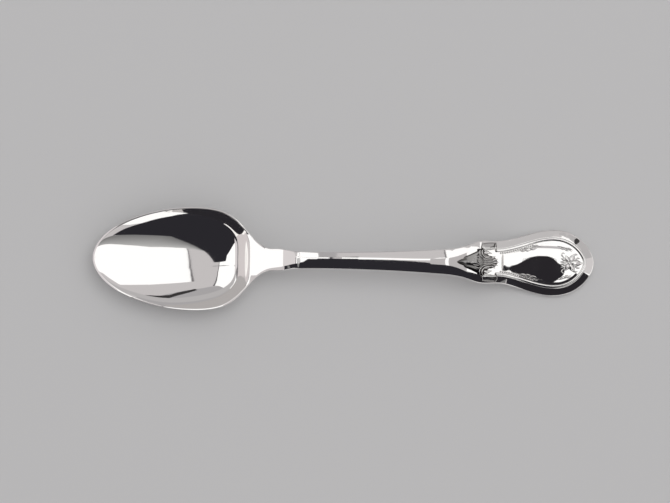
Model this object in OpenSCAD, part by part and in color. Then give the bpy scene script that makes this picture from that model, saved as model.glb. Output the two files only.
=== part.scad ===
// Teaspoon with a beaded and leafed handle end, lying bowl up as on a table.
// X runs from the tip of the bowl to the end of the handle, Y is across and Z is up.
// The underside of the bowl and the underside of the handle's end rest on Z = 0.

/* [Bowl] */
// Length of the bowl, from its tip to the neck
bowl_length = 45.3; // [38:0.1:54]
// Width of the bowl across its rim
bowl_width = 28.8; // [24:0.1:36]
// Depth of the hollow below the rim at its deepest place
bowl_depth = 7.2; // [5.5:0.1:9]
// Thickness of the bowl's bottom
bowl_wall = 1.05; // [0.8:0.05:1.5]
// Width of the flat land that runs along the rim
rim_land = 0.8; // [0.5:0.05:1.2]
// Thickness of the rim at its outer edge
rim_edge = 0.9; // [0.7:0.05:1.2]

/* [Neck and stem] */
// Length of the neck, from the bowl to the step where the stem starts
neck_length = 12.2; // [9:0.1:16]
// Width of the neck
neck_width = 5.8; // [5.2:0.1:7]
// Thickness of the neck where it leaves the bowl
neck_thickness = 3.1; // [2.6:0.1:3.8]
// Height of the arched underside above the table at its crest
arch_height = 8.6; // [7.5:0.1:10]
// Length of the stem
stem_length = 39.5; // [30:0.5:50]
// Width of the stem
stem_width = 5; // [4.6:0.1:5.8]
// Thickness of the stem at its middle
stem_thickness = 2.9; // [2.5:0.1:3.5]
// Thickness of the stem's outer edges
stem_edge = 1.2; // [0.9:0.05:1.4]
// Width of the bevel along each side of the stem
bevel_width = 1.5; // [1.2:0.05:1.7]
// Rise of the bevel from the edge to the top
bevel_rise = 0.75; // [0.5:0.05:0.9]
// Rise of the rounded top between the two bevels
ridge_crown = 0.06; // [0.02:0.01:0.15]
// Height of the small step down from the neck to the stem
step_height = 0.35; // [0.1:0.05:0.5]

/* [Handle end] */
// Length of the broad handle end
handle_length = 43; // [38:0.5:50]
// Width of the handle end across its round part
handle_width = 18.6; // [16:0.1:22]
// Width of the handle end across its two ears
ear_width = 11.9; // [11.6:0.1:13]
// Thickness of the handle end under its relief
handle_thickness = 2.2; // [1.8:0.05:2.8]
// Width of the sloping flange round the handle end
flange_width = 2.1; // [1.8:0.05:2.3]
// Rise of the flange from its outer edge to the field inside it
flange_rise = 0.8; // [0.5:0.05:1]

/* [Relief] */
// Width of the rounded thread that frames the panel
thread_width = 1; // [0.8:0.05:1.1]
// Height of the thread above the field
thread_rise = 0.55; // [0.35:0.05:0.7]
// Diameter of one bead
bead_diameter = 0.5; // [0.4:0.02:0.54]
// Distance from one bead to the next
bead_pitch = 0.62; // [0.58:0.01:0.8]
// Number of beads in each of the two rows
bead_count = 16; // [8:1:17]
// Height of the panel's edge above the field
panel_edge = 0.25; // [0.15:0.05:0.4]
// Rise of the panel's dome above its edge
panel_dome = 0.75; // [0.4:0.05:1]
// Width of the groove between the thread and the panel
groove_width = 0.65; // [0.6:0.01:0.75]
// Length of the leaf cap, from its tip to its widest place
cap_length = 6.8; // [5.5:0.1:7.2]
// Width of the leaf cap at its widest place
cap_width = 7.2; // [6.4:0.1:7.6]
// Height of the leaf cap above the field
cap_rise = 0.6; // [0.4:0.05:0.8]
// Radius of each scroll, from its eye to the outside of its roll
scroll_radius = 1.1; // [0.9:0.02:1.14]
// Diameter of the scroll's roll
scroll_roll = 0.5; // [0.36:0.02:0.54]
// Height of the curl that lies on the flange beside each scroll
curl_rise = 0.9; // [0.5:0.05:1.1]
// Length of the palmette's middle leaf
petal_length = 3.1; // [2.4:0.1:3.2]
// Width of the palmette's middle leaf
petal_width = 1.5; // [1.1:0.05:1.6]
// Height of the leaves above the panel
petal_rise = 0.38; // [0.2:0.02:0.5]
// Length of one leaf of a sprig
sprig_leaf_length = 1.5; // [1:0.05:1.6]

/* [Hidden] */

// Gap that keeps a relief piece off the surface that it lies on
seat_gap = 0.02;
// Height of the thin outer edges of the cap and of the curls
cap_edge = 0.12;
curl_edge = 0.1;
// Gap between the cap's tongue and the panel
cap_gap = 0.35;

// Bowl: along its length, half width, underside and rim as shares of the depth, and wall
bowl_shares = [
    [-0.0165, 0,     0.892, 0.818, 0.786],
    [0.033,   0.347, 0.697, 0.788, 1],
    [0.132,   0.625, 0.436, 0.780, 1],
    [0.276,   0.826, 0.233, 0.783, 1],
    [0.441,   0.965, 0.118, 0.820, 1],
    [0.618,   1.014, 0.030, 0.897, 1],
    [0.761,   0.979, 0,     0.940, 1],
    [0.865,   0.847, 0,     0.903, 1.1],
    [0.940,   0.597, 0.423, 0.819, 2.1]
];
// Share of the rim's land that is measured square to the outline, along the bowl
bowl_lead_shares = [1, 1, 1, 1, 1, 1, 1, 0.5, 0];
// Neck: along it, half width, underside, thickness, rise of the bevel before its stop, its width
neck_shares = [
    [0,     1.745, 0.530, 1,    0.2, 0.35],
    [0.27,  1.025, 0.664, 1.03, 0.4, 0.43],
    [0.55,  1.14,  0.738, 1,    0.5, 0.77],
    [0.765, 0.916, 0.770, 1,    0.5, 0.87],
    [0.945, 0.832, 0.795, 1,    0.5, 1]
];
// Stem: along it, half width, underside, thickness, bevel width
stem_shares = [
    [0.065, 0.955, 0.860, 1.04, 1],
    [0.24,  0.955, 0.920, 1,    1.02],
    [0.52,  1.04,  0.943, 0.95, 1.09],
    [0.77,  1.17,  0.965, 0.90, 1.45],
    [0.95,  1.35,  0.980, 0.86, 1.75]
];
// Handle end: along it, half width, underside, flange width; the first rows follow the ears
ear_shares = [
    [0.08,  0.62,  1.002, 1.3],
    [0.177, 0.79,  0.899, 0.95],
    [0.251, 1.034, 0.750, 1],
    [0.321, 1.0,   0.567, 1],
    [0.40,  0.983, 0.355, 1]
];
round_shares = [
    [0.498, 0.753, 0.122],
    [0.609, 0.925, 0],
    [0.726, 1.022, 0],
    [0.828, 0.957, 0],
    [0.921, 0.720, 0],
    [0.984, 0.355, 0],
    [1.008, 0,     0]
];
// Seams between the pieces, as shares of all the rows of the tables above
neck_seam_share = 0.3;
stem_seam_share = 0.44;
handle_seam_share = 0.6133;
// Filled heel: where the hollow ends at a curved edge and the neck's plate begins
heel_shares = [[0.2667, 0], [0.2833, 1], [0.32, 1], [0.34, 0]];
// Stop at which the bevel turns steeper
stop_shares = [0.4, 0.425];
// Ridge across the neck's plate and the step down to the stem: place and height
step_shares = [[0.35, 0], [0.3833, 1.25], [0.4333, 0], [0.44, -1.3], [0.48, 0]];
// Places where the thread, the beads and the panel begin, as shares of all the rows
thread_from_share = 0.75;
bead_from_share = 0.76;
panel_from_share = 0.7633;
// Shares of a row at which the rings lie near the two closed ends of the loft
end_share = 0.03;
end_shares = [0.08, 0.17, 0.3, 0.48, 0.7];
// Width of the closing ring's inner points
closing_share = 0.9;
// Share of the hollow's cross curve that is drawn out to the walls
steep_share = 0.35;
// Hollow that is left where the bowl meets the neck, and the crown of the neck's top
heel_hollow_share = 0.02;
neck_crown_share = 0.5;

// Steps along the loft, counted in rows, and the number of steps across it
fine_step = 0.25;
coarse_step = 0.4;
bead_path_step = 0.05;
loft_across = 16;

neck_start = bowl_length;
stem_start = neck_start + neck_length;
handle_start = stem_start + stem_length;
total_length = handle_start + handle_length;

function mix(a, b, t) = a + (b - a) * t;

// Each row: distance from the tip, half width, border width, underside, thickness,
// rise of the border, hollow below the rim, edge thickness, lead of the border,
// rise of the border before the bevel's stop.
function bowl_row(i) =
    let (
        b = bowl_shares[i],
        underside = b[2] * bowl_depth,
        wall = b[4] * bowl_wall,
        rim = bowl_wall + b[3] * bowl_depth,
        edge = mix(rim_edge, stem_edge, i < 7 ? 0 : (i - 6) / 3)
    )
    [b[0] * bowl_length, b[1] * bowl_width / 2, rim_land, underside, wall, 0,
        rim - underside - wall, edge, bowl_lead_shares[i], 0];

function neck_row(n) =
    let (hollow = n[0] == 0 ? heel_hollow_share * bowl_depth : -neck_crown_share * ridge_crown)
    [neck_start + n[0] * neck_length, n[1] * neck_width / 2, n[5] * bevel_width,
        n[2] * arch_height, n[3] * neck_thickness, bevel_rise, hollow, stem_edge, 0, n[4] * bevel_rise];

function stem_row(t) =
    [stem_start + t[0] * stem_length, t[1] * stem_width / 2, t[4] * bevel_width,
        t[2] * arch_height, t[3] * stem_thickness, bevel_rise, -ridge_crown, stem_edge, 0, bevel_rise];

function handle_row(along, half_width, underside, border, lead) =
    [handle_start + along * handle_length, half_width, border, underside * arch_height,
        handle_thickness, flange_rise, 0, handle_thickness - flange_rise, lead, flange_rise];

rows = [
    for (i = [0:len(bowl_shares) - 1]) bowl_row(i),
    for (n = neck_shares) neck_row(n),
    for (t = stem_shares) stem_row(t),
    for (i = [0:len(ear_shares) - 1]) let (e = ear_shares[i])
        handle_row(e[0], e[1] * ear_width / 2, e[2], e[3] * flange_width, i < 3 ? 0 : 1),
    for (r = round_shares) handle_row(r[0], r[1] * handle_width / 2, r[2], flange_width, 1)
];
last_row = len(rows) - 1;
neck_seam = neck_seam_share * last_row;
stem_seam = stem_seam_share * last_row;
handle_seam = handle_seam_share * last_row;

// A row reflected across the centre line, which closes the loft with a round end
function reflected(row) = [for (i = [0:len(row) - 1]) i == 1 ? -row[i] : row[i]];
guides = concat([reflected(rows[1])], rows, [reflected(rows[last_row - 1])]);

// Smooth curve through the rows, and its slope
function curve_weights(t) =
    [pow(1 - t, 3), 3 * pow(t, 3) - 6 * t * t + 4, -3 * pow(t, 3) + 3 * t * t + 3 * t + 1, pow(t, 3)] / 6;
function slope_weights(t) = [-pow(1 - t, 2), 3 * t * t - 4 * t, -3 * t * t + 2 * t + 1, t * t] / 2;
function blended(u, weights_at_start) =
    let (i = min(floor(u), last_row - 1), w = weights_at_start)
    w[0] * guides[i] + w[1] * guides[i + 1] + w[2] * guides[i + 2] + w[3] * guides[i + 3];
function part_of_row(u) = u - min(floor(u), last_row - 1);
// Share of the bevel's stop that holds at a place
function stop_at(u) = lookup(u / last_row, [[stop_shares[0], 0], [stop_shares[1], 1]]);
// Row at a place, with the filled heel, the stop, the ridge and the step; the step leaves the
// outline's edge as it is
function row_at(u) =
    let (
        r = blended(u, curve_weights(part_of_row(u))),
        fill = r[6] * lookup(u / last_row, heel_shares),
        lift = step_height * lookup(u / last_row, step_shares)
    )
    [
        r[0], r[1], r[2], r[3], r[4] + fill + lift,
        mix(r[9], r[5], stop_at(u)) + min(lift, 0), r[6] - fill, r[7], r[8]
    ];
function row_slope(u) = blended(u, slope_weights(part_of_row(u)));

// Direction square to the outline, pointing outwards, at the side where Y is positive
function outward(u) = let (d = row_slope(u), v = [-d[1], d[0]]) v / norm(v);

// Point that lies a given distance inside the outline; side is 1 or -1
function inset_point(u, side, distance) =
    let (r = row_at(u), n = outward(u))
    [r[0] - distance * n[0], side * (r[1] - distance * n[1])];

// Share of the hollow that is filled at a place across it, from 0 in the middle to 1
function cross_curve(v) = (1 - steep_share) * v * v + steep_share * pow(v, 4);

function centred(x) = x - total_length / 2;

// One closed ring of the loft: the top from side to side, then the underside back.
// A ring that closes a round end has its whole top on the rim.
function ring(u, closes = false) =
    let (
        r = row_at(u),
        n = outward(u),
        s_inner = closes ? r[0] : r[0] - r[2] * n[0] * r[8],
        w_inner = closes ? r[1] * closing_share : r[1] - r[2] * n[1],
        top = r[3] + r[4],
        rim = top + r[6] - r[5],
        low = rim - r[7],
        count = loft_across + 2
    )
    concat(
        [[centred(r[0]), -r[1], rim]],
        [for (j = [0:loft_across]) let (v = 2 * j / loft_across - 1)
            [centred(s_inner), v * w_inner, closes ? rim : top + r[6] * cross_curve(v)]],
        [[centred(r[0]), r[1], rim]],
        [for (j = [count:-1:0]) let (v = 2 * j / count - 1)
            [centred(r[0]), v * r[1], r[3] + (low - r[3]) * cross_curve(v)]]
    );

// Closed solid through rings of equal length, whose first half is its upper side
module loft(rings) {
    size = len(rings[0]);
    half = size / 2;
    last = (len(rings) - 1) * size;
    sides = [
        for (i = [0:len(rings) - 2], k = [0:size - 1])
            let (a = i * size + k, b = i * size + (k + 1) % size, c = b + size, d = a + size)
            each [[a, b, c], [a, c, d]]
    ];
    start = [
        for (j = [0:half - 2]) let (a = j, b = j + 1, c = size - 2 - j, d = size - 1 - j)
            each [[b, a, d], [b, d, c]]
    ];
    end = [
        for (j = [0:half - 2]) let (a = last + j, b = a + 1, c = last + size - 2 - j, d = c + 1)
            each [[a, b, c], [a, c, d]]
    ];
    polyhedron(points = [for (r = rings) each r], faces = concat(sides, start, end));
}

// Places of the rings between two rows, the last one left out, and those near the handle's end
function steps(from, to, step) = [for (u = [from:step:to - step / 2]) u];
last_steps = [for (i = [len(end_shares) - 1:-1:0]) last_row - end_shares[i]];

// Height of the flat field inside the flange, by distance from the tip
field_heights = [
    for (u = concat(steps(handle_seam, last_row - 1, coarse_step), last_steps))
        let (r = row_at(u), n = outward(u)) [r[0] - r[2] * n[0] * r[8], r[3] + r[4]]
];
function field(s) = lookup(s, field_heights);

// Panel: its outline lies inside the thread and the groove
panel_inset = flange_width + thread_width + groove_width;
panel_from = panel_from_share * last_row;
panel_widths = [
    for (u = concat(steps(panel_from, last_row - 1, coarse_step), last_steps, [last_row]))
        inset_point(u, 1, panel_inset)
];
panel_half_width = max([for (p = panel_widths) p[1]]);
function panel_width_at(s) = lookup(s, panel_widths);
function panel_top(s, y) =
    field(s) + panel_edge
    + panel_dome * (pow(panel_width_at(s), 2) - y * y) / pow(panel_half_width, 2);

// Ring of a piece that lies on the field: rounded or flat top over a seated underside
function seated_ring(places, heights) = concat(
    [for (i = [0:len(places) - 1]) let (p = places[i])
        [centred(p[0]), p[1], field(p[0]) + seat_gap + heights[i]]],
    [for (i = [len(places) - 1:-1:0]) let (p = places[i])
        [centred(p[0]), p[1], field(p[0]) + seat_gap]]
);

module bowl() {
    color("silver")
        loft(concat(
            [ring(end_share, true)],
            [for (u = concat(end_shares, steps(1, neck_seam, fine_step), [neck_seam])) ring(u)]
        ));
}

module neck() {
    color("lightsteelblue")
        loft([for (u = concat(steps(neck_seam, stem_seam, fine_step), [stem_seam])) ring(u)]);
}

module stem() {
    color("silver")
        loft([for (u = concat(steps(stem_seam, handle_seam, coarse_step), [handle_seam])) ring(u)]);
}

module handle_end() {
    color("lightsteelblue")
        loft(concat(
            [for (u = concat(steps(handle_seam, last_row - 1, coarse_step), last_steps)) ring(u)],
            [ring(last_row - end_share, true)]
        ));
}

// Rows of the path that follows the outline round the handle's end and back
function round_path(from) = concat(
    [for (u = steps(from, last_row, coarse_step)) [u, 1]],
    [[last_row, 1]],
    [for (u = [last_row - coarse_step:-coarse_step:from]) [u, -1]]
);

module thread() {
    middle = flange_width + thread_width / 2;
    arc_shares = [-1, -0.8, -0.4, 0, 0.4, 0.8, 1];
    edge_height = thread_rise / 4;
    heights = [for (a = arc_shares) edge_height + (thread_rise - edge_height) * sqrt(1 - a * a)];
    color("gainsboro")
        loft([
            for (p = round_path(thread_from_share * last_row))
                seated_ring([for (a = arc_shares) inset_point(p[0], p[1], middle - a * thread_width / 2)], heights)
        ]);
}

module panel() {
    across = 14;
    color("whitesmoke")
        loft([
            for (u = concat(steps(panel_from, last_row - 1, coarse_step), last_steps))
                let (p = inset_point(u, 1, panel_inset))
                concat(
                    [for (j = [0:across]) let (y = p[1] * (2 * j / across - 1))
                        [centred(p[0]), y, panel_top(p[0], y)]],
                    [for (j = [across:-1:0]) let (y = p[1] * (2 * j / across - 1))
                        [centred(p[0]), y, field(p[0]) + seat_gap]]
                )
        ]);
}

// Leaf cap: a shield with flutes, whose narrow back tongue runs between the scrolls
// and ends just short of the panel
cap_shares = [
    [0.02, 0.04], [0.12, 0.26], [0.26, 0.45], [0.45, 0.65], [0.65, 0.82], [0.84, 0.95], [1, 1],
    [1.03, 0.62], [1.08, 0.38], [1.3, 0.34], [1.5, 0.3], [1.72, 0.22], [1.82, 0.1]
];
cap_reach = cap_shares[len(cap_shares) - 1][0] * cap_length;
cap_tip = panel_widths[0][0] - cap_gap - cap_reach;
flute_count = 2.5;
flute_share = 0.2;
module leaf_cap() {
    across = 16;
    color("lightgray")
        loft([
            for (c = cap_shares)
                let (s = cap_tip + c[0] * cap_length, w = c[1] * cap_width / 2)
                seated_ring(
                    [for (j = [0:across]) [s, w * (2 * j / across - 1)]],
                    [for (j = [0:across]) let (v = 2 * j / across - 1)
                        cap_edge + (cap_rise - cap_edge) * (1 - v * v) * (1 - flute_share * (1 - cos(360 * flute_count * v)))]
                )
        ]);
}

// Scrolls: a rolled spiral on each side of the cap's tongue
scroll_place_share = 1.33;
scroll_seat_share = 0.4;
scroll_s = cap_tip + scroll_place_share * cap_length;
scroll_y = scroll_seat_share * cap_width / 2 + scroll_radius;
scroll_turns = 1.15;
scroll_start_angle = 200;
scroll_eye_share = 0.75;
module scroll() {
    turn_steps = 20;
    sides = 8;
    path_radius = scroll_radius - scroll_roll / 2;
    inner_radius = scroll_roll * scroll_eye_share;
    half = sides / 2;
    loft([
        for (i = [0:turn_steps])
            let (
                share = i / turn_steps,
                angle = scroll_start_angle - share * scroll_turns * 360,
                radius = path_radius + (inner_radius - path_radius) * share,
                place = [scroll_s + radius * cos(angle), scroll_y + radius * sin(angle)],
                left = [cos(angle), sin(angle)],
                height = field(place[0]) + seat_gap + scroll_roll / 2
            )
            [for (k = [0:sides - 1])
                let (roll = 180 * (1 - (k + 0.5) * 2 / sides), side = scroll_roll / 2 * cos(roll))
                [centred(place[0] + left[0] * side), place[1] + left[1] * side, height + scroll_roll / 2 * sin(roll)]]
    ]);
}

// Place on the sloping flange: a share of its width in from the outline, and its height
function on_flange(u, share, height) =
    let (r = row_at(u), p = inset_point(u, 1, share * r[2]))
    [centred(p[0]), p[1], r[3] + r[4] - (1 - share) * r[5] + seat_gap + height];

// Curl: a tapered roll that lies on the flange beside the scroll
curl_from_share = 0.7133;
curl_length_share = 0.04;
curl_span_shares = [0.12, 0.9];
curl_height_shares = [0, 0.62, 0.9, 1, 0.9, 0.62, 0];
curl_low_share = 0.45;
module curl() {
    slices = 3;
    last_point = len(curl_height_shares) - 1;
    loft([
        for (i = [0:slices])
            let (
                u = last_row * (curl_from_share + curl_length_share * i / slices),
                from = curl_span_shares[0] * (2 - i / slices),
                to = curl_span_shares[1],
                crest = curl_rise * mix(curl_low_share, 1, i / slices)
            )
            concat(
                [for (j = [last_point:-1:0]) let (across = mix(from, to, j / last_point))
                    on_flange(u, across, curl_edge + crest * curl_height_shares[j])],
                [for (j = [0:last_point]) on_flange(u, mix(from, to, j / last_point), 0)]
            )
    ]);
}

module scrolls() {
    color("lightgray") {
        scroll();
        curl();
        mirror([0, 1, 0]) {
            scroll();
            curl();
        }
    }
}

// Beads: each is a ball with a flat seat, in the groove between the thread and the panel
bead_inset = flange_width + thread_width + groove_width / 2;
bead_path = [for (u = [bead_from_share * last_row:bead_path_step:last_row]) inset_point(u, 1, bead_inset)];
bead_runs = [
    for (i = 0, run = 0; i < len(bead_path) - 1; run = run + norm(bead_path[i + 1] - bead_path[i]), i = i + 1)
        [run, i]
];
module bead() {
    seat = bead_diameter * 0.2;
    translate([0, 0, bead_diameter / 2 - seat])
        difference() {
            sphere(d = bead_diameter, $fn = 24);
            translate([-bead_diameter, -bead_diameter, -bead_diameter - bead_diameter / 2 + seat])
                cube([2 * bead_diameter, 2 * bead_diameter, bead_diameter]);
        }
}
module bead_row() {
    for (k = [0:bead_count - 1]) {
        index = lookup(k * bead_pitch, bead_runs);
        low = bead_path[floor(index)];
        high = bead_path[floor(index) + 1];
        place = mix(low, high, index - floor(index));
        translate([centred(place[0]), place[1], field(place[0] - bead_diameter / 2) + seat_gap]) bead();
    }
}
module bead_rows() {
    color("white") {
        bead_row();
        mirror([0, 1, 0]) bead_row();
    }
}

// Leaf with a raised midrib, lying on the panel; it starts at a place and points along an angle
leaf_end_shares = [0.05, 0.95];
leaf_shape_power = 0.8;
leaf_edge_share = 0.1;
module leaf(s, y, angle, length, width, rise) {
    slices = 3;
    along = [cos(angle), sin(angle)];
    aside = [-sin(angle), cos(angle)];
    function at(share, side) =
        let (half = width / 2 * sin(180 * pow(share, leaf_shape_power)) * side)
        [s, y] + length * share * along + half * aside;
    function on_panel(p, h) = [centred(p[0]), p[1], panel_top(p[0], p[1]) + seat_gap + h];
    loft([
        for (i = [0:slices + 1])
            let (
                share = mix(leaf_end_shares[0], leaf_end_shares[1], i / (slices + 1)),
                crest = rise * sin(180 * pow(share, leaf_shape_power))
            )
            [
                on_panel(at(share, -1), leaf_edge_share * rise),
                on_panel(at(share, 0), crest),
                on_panel(at(share, 1), leaf_edge_share * rise),
                on_panel(at(share, 1), 0),
                on_panel(at(share, 0), 0),
                on_panel(at(share, -1), 0)
            ]
    ]);
}

// Palmette: leaves fanned round an eye, the longest pointing to the handle's end
palmette_place_share = 0.832;
palmette_s = handle_start + palmette_place_share * handle_length;
petal_angles = [0, 48, 96, 144];
petal_shares = [1, 0.88, 0.8, 0.66];
eye_share = 0.32;
eye_top_share = 0.6;
petal_reach_share = 1.4;
module palmette() {
    eye = petal_width * eye_share;
    reach = petal_reach_share * eye;
    color("white") {
        for (i = [0:len(petal_angles) - 1], side = [-1, 1]) {
            if (i > 0 || side > 0) {
                angle = side * petal_angles[i];
                leaf(
                    palmette_s + reach * cos(angle), reach * sin(angle), angle,
                    petal_shares[i] * petal_length, petal_shares[i] * petal_width, petal_rise
                );
            }
        }
        translate([centred(palmette_s), 0, panel_top(palmette_s, 0) + seat_gap])
            cylinder(r1 = eye, r2 = eye * eye_top_share, h = petal_rise, $fn = 24);
    }
}

// Sprigs: two pairs of small three leaved sprays near the panel's edge
sprig_shares = [0.62, 0.83];
sprig_reach_shares = [0.66, 0.74];
sprig_angles = [28, 118];
sprig_fan_angle = 42;
sprig_start_share = 0.35;
sprig_width_share = 0.36;
sprig_rise_share = 0.6;
sprig_side_share = 0.8;
module sprigs() {
    color("white")
        for (i = [0, 1], side = [-1, 1], fan = [-1, 0, 1]) {
            s = handle_start + sprig_shares[i] * handle_length;
            y = side * sprig_reach_shares[i] * panel_width_at(s);
            angle = side * sprig_angles[i] + fan * sprig_fan_angle;
            start = sprig_start_share * sprig_leaf_length;
            leaf(
                s + start * cos(angle), y + start * sin(angle), angle,
                sprig_leaf_length * mix(1, sprig_side_share, abs(fan)),
                sprig_leaf_length * sprig_width_share, petal_rise * sprig_rise_share
            );
        }
}

bowl();
neck();
stem();
handle_end();
thread();
panel();
leaf_cap();
scrolls();
bead_rows();
palmette();
sprigs();
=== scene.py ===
"""Looks of a silver plated teaspoon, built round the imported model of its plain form.

The spoon lies bowl up. X runs from the bowl's tip to the handle's end, Y is across, Z is up.
Sizes are in millimetres, as in the part's own source, and meshes are made in metres.
"""
import logging
import math
from dataclasses import dataclass, replace
from enum import Enum
from typing import Callable, Iterable, Sequence

import bmesh
import bpy
import numpy as np
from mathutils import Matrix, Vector


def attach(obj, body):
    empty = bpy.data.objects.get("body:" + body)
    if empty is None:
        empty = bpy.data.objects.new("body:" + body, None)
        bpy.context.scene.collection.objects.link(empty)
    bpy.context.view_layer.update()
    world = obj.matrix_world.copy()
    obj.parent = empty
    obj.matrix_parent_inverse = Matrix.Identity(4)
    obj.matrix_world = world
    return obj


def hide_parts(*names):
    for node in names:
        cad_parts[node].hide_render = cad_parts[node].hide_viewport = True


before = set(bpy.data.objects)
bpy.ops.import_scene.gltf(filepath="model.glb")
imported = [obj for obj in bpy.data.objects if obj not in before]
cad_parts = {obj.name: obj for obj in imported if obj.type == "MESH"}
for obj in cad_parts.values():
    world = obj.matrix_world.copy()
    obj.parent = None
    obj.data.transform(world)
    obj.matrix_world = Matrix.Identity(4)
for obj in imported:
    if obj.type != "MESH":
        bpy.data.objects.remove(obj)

log = logging.getLogger("teaspoon")
Point = tuple[float, float, float]
Place = tuple[float, float]

# A millimetre in metres
MM = 0.001
# Vertices closer than this, in metres, are merged
WELD = 2e-7
# Added to lengths that are divided by, so that none is zero
TINY = 1e-9


class Slot(Enum):
    """The record's material slots."""

    POLISHED = "polished_silver"
    RELIEF = "relief_silver"


def linear(hex_colour: str, alpha: float = 1.0) -> tuple[float, float, float, float]:
    """Turn an sRGB hex colour into the linear values that a socket takes.

    Args:
        hex_colour: six hex digits, such as "BDBCBB".
        alpha: the fourth value.

    Returns:
        Red, green, blue and alpha.
    """
    parts = [int(hex_colour[i:i + 2], 16) / 255 for i in (0, 2, 4)]
    return tuple(p / 12.92 if p <= 0.04045 else ((p + 0.055) / 1.055) ** 2.4 for p in parts) + (alpha,)


def add_node(tree: bpy.types.NodeTree, kind: str, settings: dict | None = None,
             values: dict | None = None, links: dict | None = None) -> bpy.types.Node:
    """Add a node with its settings, socket values and incoming links.

    Args:
        tree: the node tree.
        kind: the node's type name.
        settings: properties to set on the node.
        values: input socket (name or number) to plain value.
        links: input socket (name or number) to the output socket that feeds it.

    Returns:
        The new node.
    """
    node = tree.nodes.new(kind)
    for key, value in (settings or {}).items():
        setattr(node, key, value)
    for key, value in (values or {}).items():
        node.inputs[key].default_value = value
    for key, socket in (links or {}).items():
        tree.links.new(socket, node.inputs[key])
    return node


def smooth_step(x: np.ndarray, low: float, high: float) -> np.ndarray:
    """Rise smoothly from 0 at low to 1 at high."""
    t = np.clip((x - low) / (high - low), 0, 1)
    return t * t * (3 - 2 * t)


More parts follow.
